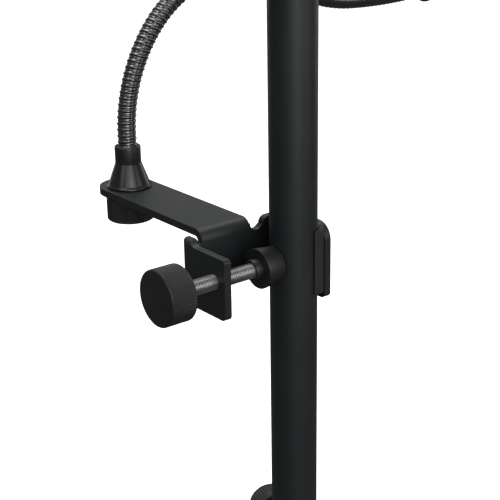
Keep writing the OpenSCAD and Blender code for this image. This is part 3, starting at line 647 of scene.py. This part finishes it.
# %% Rubber feet
def grooved(bm, origin, axis, heights, width, depth, outer):
    """Sinks rings into the skin of a round part, each at a height along its axis."""
    for height in heights:
        for step in (-0.5, -0.25, 0.25, 0.5):
            bmesh.ops.bisect_plane(
                bm, geom=bm.verts[:] + bm.edges[:] + bm.faces[:], dist=1e-7,
                plane_co=origin + axis * (height + step * width), plane_no=axis)
    for v in bm.verts:
        along = (v.co - origin).dot(axis)
        out = v.co - origin - along * axis
        if out.length > outer and any(abs(along - h) < 0.3 * width for h in heights):
            v.co -= out.normalized() * depth
    return bm


for side in "abc":
    sole = next(m for m in frame["record"]["mounts"] if m["name"] == f"foot_{side}_sole")
    ball = Vector(sole["pos_m"]) + Vector((0, 0, 10 * mm))
    line = (joint_axis(f"leg_{side}_fold")[0] - ball).normalized()
    boot = soften(copy_of(f"foot_{side}"), 0.8 * mm, 3)
    grooved(boot, ball, line, [h * mm for h in (15, 20, 25, 30)], 2.4 * mm, 0.8 * mm, 10.5 * mm)
    finish_piece(f"foot_{side}_boot", boot, rubber, f"leg_{side}", f"foot_{side}", flats=True)


# %% [markdown]
# ## Studio
# A pale floor and soft lights. Black satin parts are drawn by what they reflect: a big panel high
# behind the stand for the flat tops, a narrow key and a broad front panel beside the camera for
# the stripe on the tube, a box at the side and a higher one opposite for the streaks on the cone,
# two strips behind for the bright rims, and a soft sun that fills the rest.

# %% Floor
bpy.ops.mesh.primitive_plane_add(size=60)
floor = bpy.context.object
floor.name = "floor"
floor_finish, tree, shader, place = new_finish(
    "pale_floor", Base_Color=linear("f8f8f7"), Roughness=0.9, Emission_Strength=0.4,
    Emission_Color=(1, 1, 1, 1))
# The stand would mirror a white floor as grey, so for its reflections the floor is a dark one.
dark_floor = add(tree, "ShaderNodeBsdfDiffuse", {"Color": linear("4c4c4c")})
rays = add(tree, "ShaderNodeLightPath", {})
either = add(tree, "ShaderNodeMixShader", {}, [
    (0, rays.outputs["Is Camera Ray"]), (1, dark_floor.outputs[0]), (2, shader.outputs[0])])
tree.links.new(either.outputs[0], tree.nodes["Material Output"].inputs["Surface"])
floor.data.materials.append(floor_finish)

# %% World and lights
world = bpy.data.worlds.new("studio")
bpy.context.scene.world = world
world.use_nodes = True
tree = world.node_tree
seen = add(tree, "ShaderNodeBackground", {"Color": (1, 1, 1, 1), "Strength": 1.0})
room = add(tree, "ShaderNodeBackground", {"Color": (1, 1, 1, 1), "Strength": 0.22})
rays = add(tree, "ShaderNodeLightPath", {})
both = add(tree, "ShaderNodeMixShader", {}, [(0, rays.outputs["Is Camera Ray"]),
                                             (1, room.outputs[0]), (2, seen.outputs[0])])
tree.links.new(both.outputs[0], tree.nodes["World Output"].inputs["Surface"])


def soft_box(name, bearing, height, distance, size, power):
    """An area light at a bearing from the camera's, in degrees, that faces the clamp."""
    data = bpy.data.lights.new(name, "AREA")
    data.shape = "RECTANGLE"
    data.size, data.size_y = size
    data.energy = power
    light = bpy.data.objects.new(name, data)
    bpy.context.collection.objects.link(light)
    turn = azimuth + math.radians(bearing)
    rise = math.radians(height)
    back = Vector((math.sin(turn) * math.cos(rise), -math.cos(turn) * math.cos(rise),
                   math.sin(rise)))
    light.location = Vector((0, 0, screw_height)) + back * distance
    light.rotation_mode = "QUATERNION"
    light.rotation_quaternion = (-back).to_track_quat("-Z", "Y")
    return light


soft_box("overhead", 180, 62, 2.2, (2.2, 2.2), 22)
soft_box("key", 18, 15, 2.4, (0.8, 1.6), 14)
soft_box("front", 20, 24, 2.6, (3.8, 2.0), 40)
soft_box("side", 68, 12, 2.4, (0.8, 1.6), 7)
soft_box("second", -44, 38, 2.4, (0.5, 1.0), 4)
soft_box("left_rim", -144, 5, 2.4, (0.4, 2.0), 3.6)
soft_box("right_rim", 135, 5, 2.4, (0.8, 2.0), 6.5)

sky = bpy.data.lights.new("sky", "SUN")
sky.energy = 2.1
sky.angle = math.radians(50)
sky_light = bpy.data.objects.new("sky", sky)
bpy.context.collection.objects.link(sky_light)
bpy.context.scene.view_settings.view_transform = "Standard"
